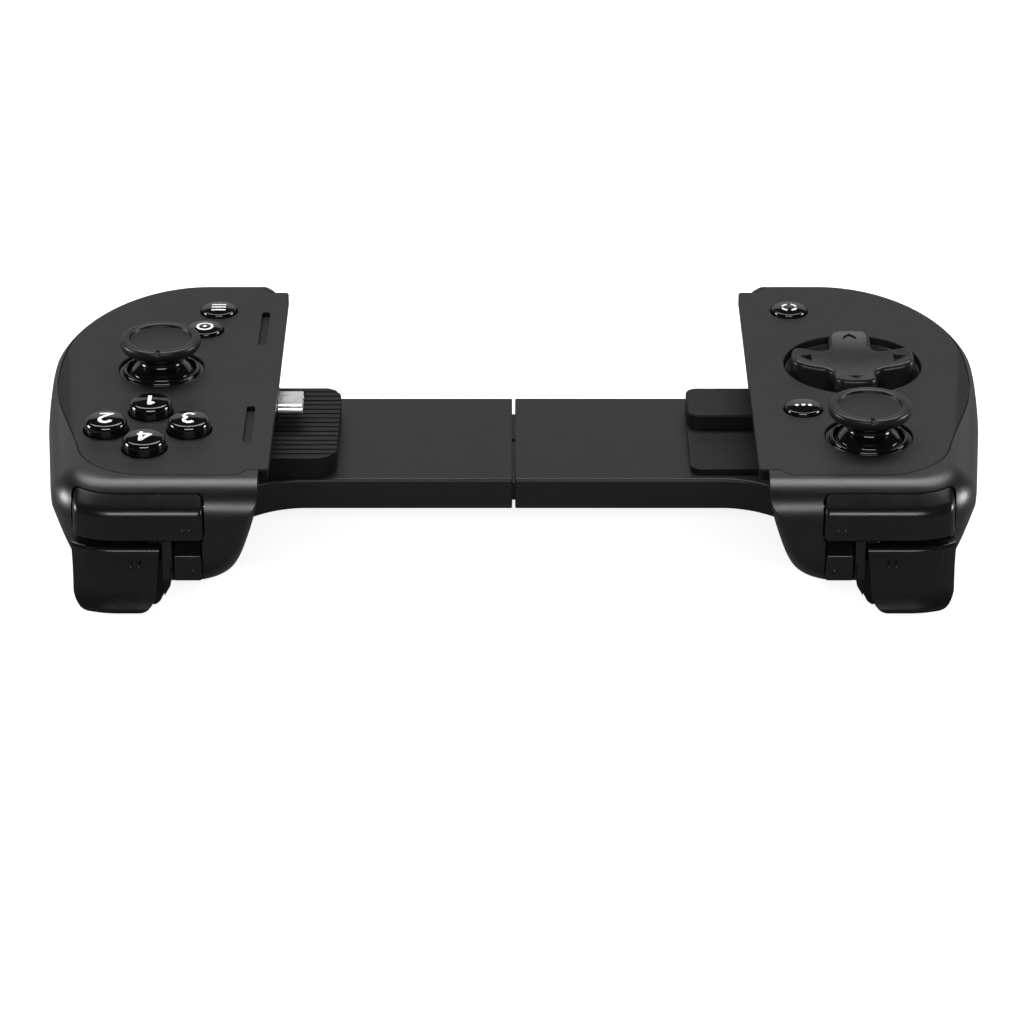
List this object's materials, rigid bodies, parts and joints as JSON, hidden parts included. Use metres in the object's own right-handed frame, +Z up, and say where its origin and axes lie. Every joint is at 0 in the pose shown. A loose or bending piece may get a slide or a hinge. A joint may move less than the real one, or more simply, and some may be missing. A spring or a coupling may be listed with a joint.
{
  "type": "telescopic mobile game controller",
  "caption": "Telescopic game controller: two grip pods on a sliding bridge that clamps a phone, with thumb sticks, buttons, direction pad and shoulder triggers.",
  "frame": {"origin": "centre of the closed controller's bounding box, on the surface its grips rest on", "axes": "+X along the bridge towards the pod with the direction pad, +Y away from the shoulder buttons, +Z up out of the face plates"},
  "size_m": [0.19, 0.103, 0.0376],
  "materials": {
    "board_laminate": "green board",
    "bridge_plastic": "matte dark grey",
    "button_plastic": "glossy black",
    "cable_film": "amber film",
    "contact_plastic": "black insulator",
    "face_plastic": "matte charcoal face",
    "gloss_plastic": "glossy black",
    "mat_rubber": "grey silicone",
    "pad_rubber": "matte dark rubber",
    "pin_steel": "plain steel",
    "plug_metal": "bright nickel",
    "rail_plastic": "matte black",
    "shell_plastic": "satin black moulded grip",
    "spring_steel": "spring steel",
    "stick_metal": "folded sheet steel",
    "stick_rubber": "matte black rubber",
    "trigger_plastic": "satin black"
  },
  "bodies": {
    "bridge_core": {"inner_rail": "rail_plastic", "ribbon_cable": "cable_film"},
    "left_pod": {"left_board": "board_laminate", "left_bridge_sleeve": "bridge_plastic", "left_bumper_pin": "pin_steel", "left_button_mat": "mat_rubber", "left_dpad_post": "contact_plastic", "left_face_plate": "face_plastic", "left_phone_pad": "pad_rubber", "left_rear_housing": "shell_plastic", "left_return_spring": "spring_steel", "left_screws": "pin_steel", "left_sleeve_cover": "bridge_plastic", "left_stick_base": "stick_metal", "left_stick_bezel": "gloss_plastic", "left_trigger_pin": "pin_steel", "left_trigger_spring": "spring_steel"},
    "left_bumper": {"left_bumper": "trigger_plastic"},
    "left_trigger": {"left_trigger": "trigger_plastic"},
    "left_shoulder_key": {"left_shoulder_key": "trigger_plastic"},
    "left_stick_yoke": {"left_stick_yoke": "contact_plastic"},
    "left_stick_gimbal": {"left_stick_gimbal": "contact_plastic"},
    "left_stick": {"left_stick_stem": "pin_steel", "left_stick_dust_cap": "gloss_plastic", "left_stick_cap": "stick_rubber"},
    "left_capture_button": {"left_capture_button": "button_plastic"},
    "left_options_button": {"left_options_button": "button_plastic"},
    "right_pod": {"right_board": "board_laminate", "right_bridge_sleeve": "bridge_plastic", "right_bumper_pin": "pin_steel", "right_button_mat": "mat_rubber", "right_face_plate": "face_plastic", "right_phone_pad": "pad_rubber", "right_plug_collar": "shell_plastic", "right_plug_contacts": "contact_plastic", "right_plug_shell": "plug_metal", "right_rear_housing": "shell_plastic", "right_return_spring": "spring_steel", "right_screws": "pin_steel", "right_sleeve_cover": "bridge_plastic", "right_stick_base": "stick_metal", "right_stick_bezel": "gloss_plastic", "right_trigger_pin": "pin_steel", "right_trigger_spring": "spring_steel"},
    "right_bumper": {"right_bumper": "trigger_plastic"},
    "right_trigger": {"right_trigger": "trigger_plastic"},
    "right_shoulder_key": {"right_shoulder_key": "trigger_plastic"},
    "right_stick_yoke": {"right_stick_yoke": "contact_plastic"},
    "right_stick_gimbal": {"right_stick_gimbal": "contact_plastic"},
    "right_stick": {"right_stick_stem": "pin_steel", "right_stick_dust_cap": "gloss_plastic", "right_stick_cap": "stick_rubber"},
    "right_menu_button": {"right_menu_button": "button_plastic"},
    "right_home_button": {"right_home_button": "button_plastic"},
    "right_face_button_far": {"right_face_button_far": "button_plastic"},
    "right_face_button_inner": {"right_face_button_inner": "button_plastic"},
    "right_face_button_outer": {"right_face_button_outer": "button_plastic"},
    "right_face_button_near": {"right_face_button_near": "button_plastic"},
    "left_dpad_ball": {"left_dpad_ball": "pin_steel"},
    "left_dpad": {"left_dpad": "button_plastic"}
  },
  "joints": [
    {"name": "left_pod_slide", "type": "slide", "parent": "bridge_core", "child": "left_pod", "axis": [1, 0, 0], "range_m": [0, 0.038], "stiffness_N_per_m": 40, "springref_m": -0.02},
    {"name": "left_bumper_press", "type": "hinge", "parent": "left_pod", "child": "left_bumper", "pos_m": [0.07, -0.04476, 0.0256], "axis": [1, 0, 0], "range_deg": [0, 5], "stiffness_Nm_per_rad": 0.05, "springref_deg": -5.73},
    {"name": "left_trigger_pull", "type": "hinge", "parent": "left_pod", "child": "left_trigger", "pos_m": [0.077, -0.04306, 0.0171], "axis": [1, 0, 0], "range_deg": [0, 15], "stiffness_Nm_per_rad": 0.05, "springref_deg": -8.59},
    {"name": "left_shoulder_key_press", "type": "slide", "parent": "left_pod", "child": "left_shoulder_key", "axis": [0, 1, 0], "range_m": [0, 0.0008], "stiffness_N_per_m": 120, "springref_m": -0.001},
    {"name": "left_stick_tilt_y", "type": "hinge", "parent": "left_pod", "child": "left_stick_yoke", "pos_m": [0.0708, -0.02326, 0.0247], "axis": [1, 0, 0], "range_deg": [-15, 15], "stiffness_Nm_per_rad": 0.02},
    {"name": "left_stick_tilt_x", "type": "hinge", "parent": "left_stick_yoke", "child": "left_stick_gimbal", "pos_m": [0.0708, -0.02326, 0.0247], "axis": [0, 1, 0], "range_deg": [-15, 15], "stiffness_Nm_per_rad": 0.02},
    {"name": "left_stick_click", "type": "slide", "parent": "left_stick_gimbal", "child": "left_stick", "axis": [0, 0, -1], "range_m": [0, 0.0005], "stiffness_N_per_m": 400, "springref_m": -0.001},
    {"name": "left_capture_button_press", "type": "slide", "parent": "left_pod", "child": "left_capture_button", "axis": [0, 0, -1], "range_m": [0, 0.0007], "stiffness_N_per_m": 120, "springref_m": -0.001},
    {"name": "left_options_button_press", "type": "slide", "parent": "left_pod", "child": "left_options_button", "axis": [0, 0, -1], "range_m": [0, 0.0007], "stiffness_N_per_m": 120, "springref_m": -0.001},
    {"name": "right_pod_slide", "type": "slide", "parent": "bridge_core", "child": "right_pod", "axis": [-1, 0, 0], "range_m": [0, 0.038], "stiffness_N_per_m": 40, "springref_m": -0.02},
    {"name": "right_bumper_press", "type": "hinge", "parent": "right_pod", "child": "right_bumper", "pos_m": [-0.07, -0.04476, 0.0256], "axis": [1, 0, 0], "range_deg": [0, 5], "stiffness_Nm_per_rad": 0.05, "springref_deg": -5.73},
    {"name": "right_trigger_pull", "type": "hinge", "parent": "right_pod", "child": "right_trigger", "pos_m": [-0.077, -0.04306, 0.0171], "axis": [1, 0, 0], "range_deg": [0, 15], "stiffness_Nm_per_rad": 0.05, "springref_deg": -8.59},
    {"name": "right_shoulder_key_press", "type": "slide", "parent": "right_pod", "child": "right_shoulder_key", "axis": [0, 1, 0], "range_m": [0, 0.0008], "stiffness_N_per_m": 120, "springref_m": -0.001},
    {"name": "right_stick_tilt_y", "type": "hinge", "parent": "right_pod", "child": "right_stick_yoke", "pos_m": [-0.0726, 0.00864, 0.0247], "axis": [1, 0, 0], "range_deg": [-15, 15], "stiffness_Nm_per_rad": 0.02},
    {"name": "right_stick_tilt_x", "type": "hinge", "parent": "right_stick_yoke", "child": "right_stick_gimbal", "pos_m": [-0.0726, 0.00864, 0.0247], "axis": [0, 1, 0], "range_deg": [-15, 15], "stiffness_Nm_per_rad": 0.02},
    {"name": "right_stick_click", "type": "slide", "parent": "right_stick_gimbal", "child": "right_stick", "axis": [0, 0, -1], "range_m": [0, 0.0005], "stiffness_N_per_m": 400, "springref_m": -0.001},
    {"name": "right_menu_button_press", "type": "slide", "parent": "right_pod", "child": "right_menu_button", "axis": [0, 0, -1], "range_m": [0, 0.0007], "stiffness_N_per_m": 120, "springref_m": -0.001},
    {"name": "right_home_button_press", "type": "slide", "parent": "right_pod", "child": "right_home_button", "axis": [0, 0, -1], "range_m": [0, 0.0007], "stiffness_N_per_m": 120, "springref_m": -0.001},
    {"name": "right_face_button_far_press", "type": "slide", "parent": "right_pod", "child": "right_face_button_far", "axis": [0, 0, -1], "range_m": [0, 0.0012], "stiffness_N_per_m": 120, "springref_m": -0.001},
    {"name": "right_face_button_inner_press", "type": "slide", "parent": "right_pod", "child": "right_face_button_inner", "axis": [0, 0, -1], "range_m": [0, 0.0012], "stiffness_N_per_m": 120, "springref_m": -0.001},
    {"name": "right_face_button_outer_press", "type": "slide", "parent": "right_pod", "child": "right_face_button_outer", "axis": [0, 0, -1], "range_m": [0, 0.0012], "stiffness_N_per_m": 120, "springref_m": -0.001},
    {"name": "right_face_button_near_press", "type": "slide", "parent": "right_pod", "child": "right_face_button_near", "axis": [0, 0, -1], "range_m": [0, 0.0012], "stiffness_N_per_m": 120, "springref_m": -0.001},
    {"name": "left_dpad_rock_y", "type": "hinge", "parent": "left_pod", "child": "left_dpad_ball", "pos_m": [0.07, 0.01054, 0.0249], "axis": [1, 0, 0], "range_deg": [-3.5, 3.5], "stiffness_Nm_per_rad": 0.05},
    {"name": "left_dpad_rock_x", "type": "hinge", "parent": "left_dpad_ball", "child": "left_dpad", "pos_m": [0.07, 0.01054, 0.0249], "axis": [0, 1, 0], "range_deg": [-3.5, 3.5], "stiffness_Nm_per_rad": 0.05}
  ]
}
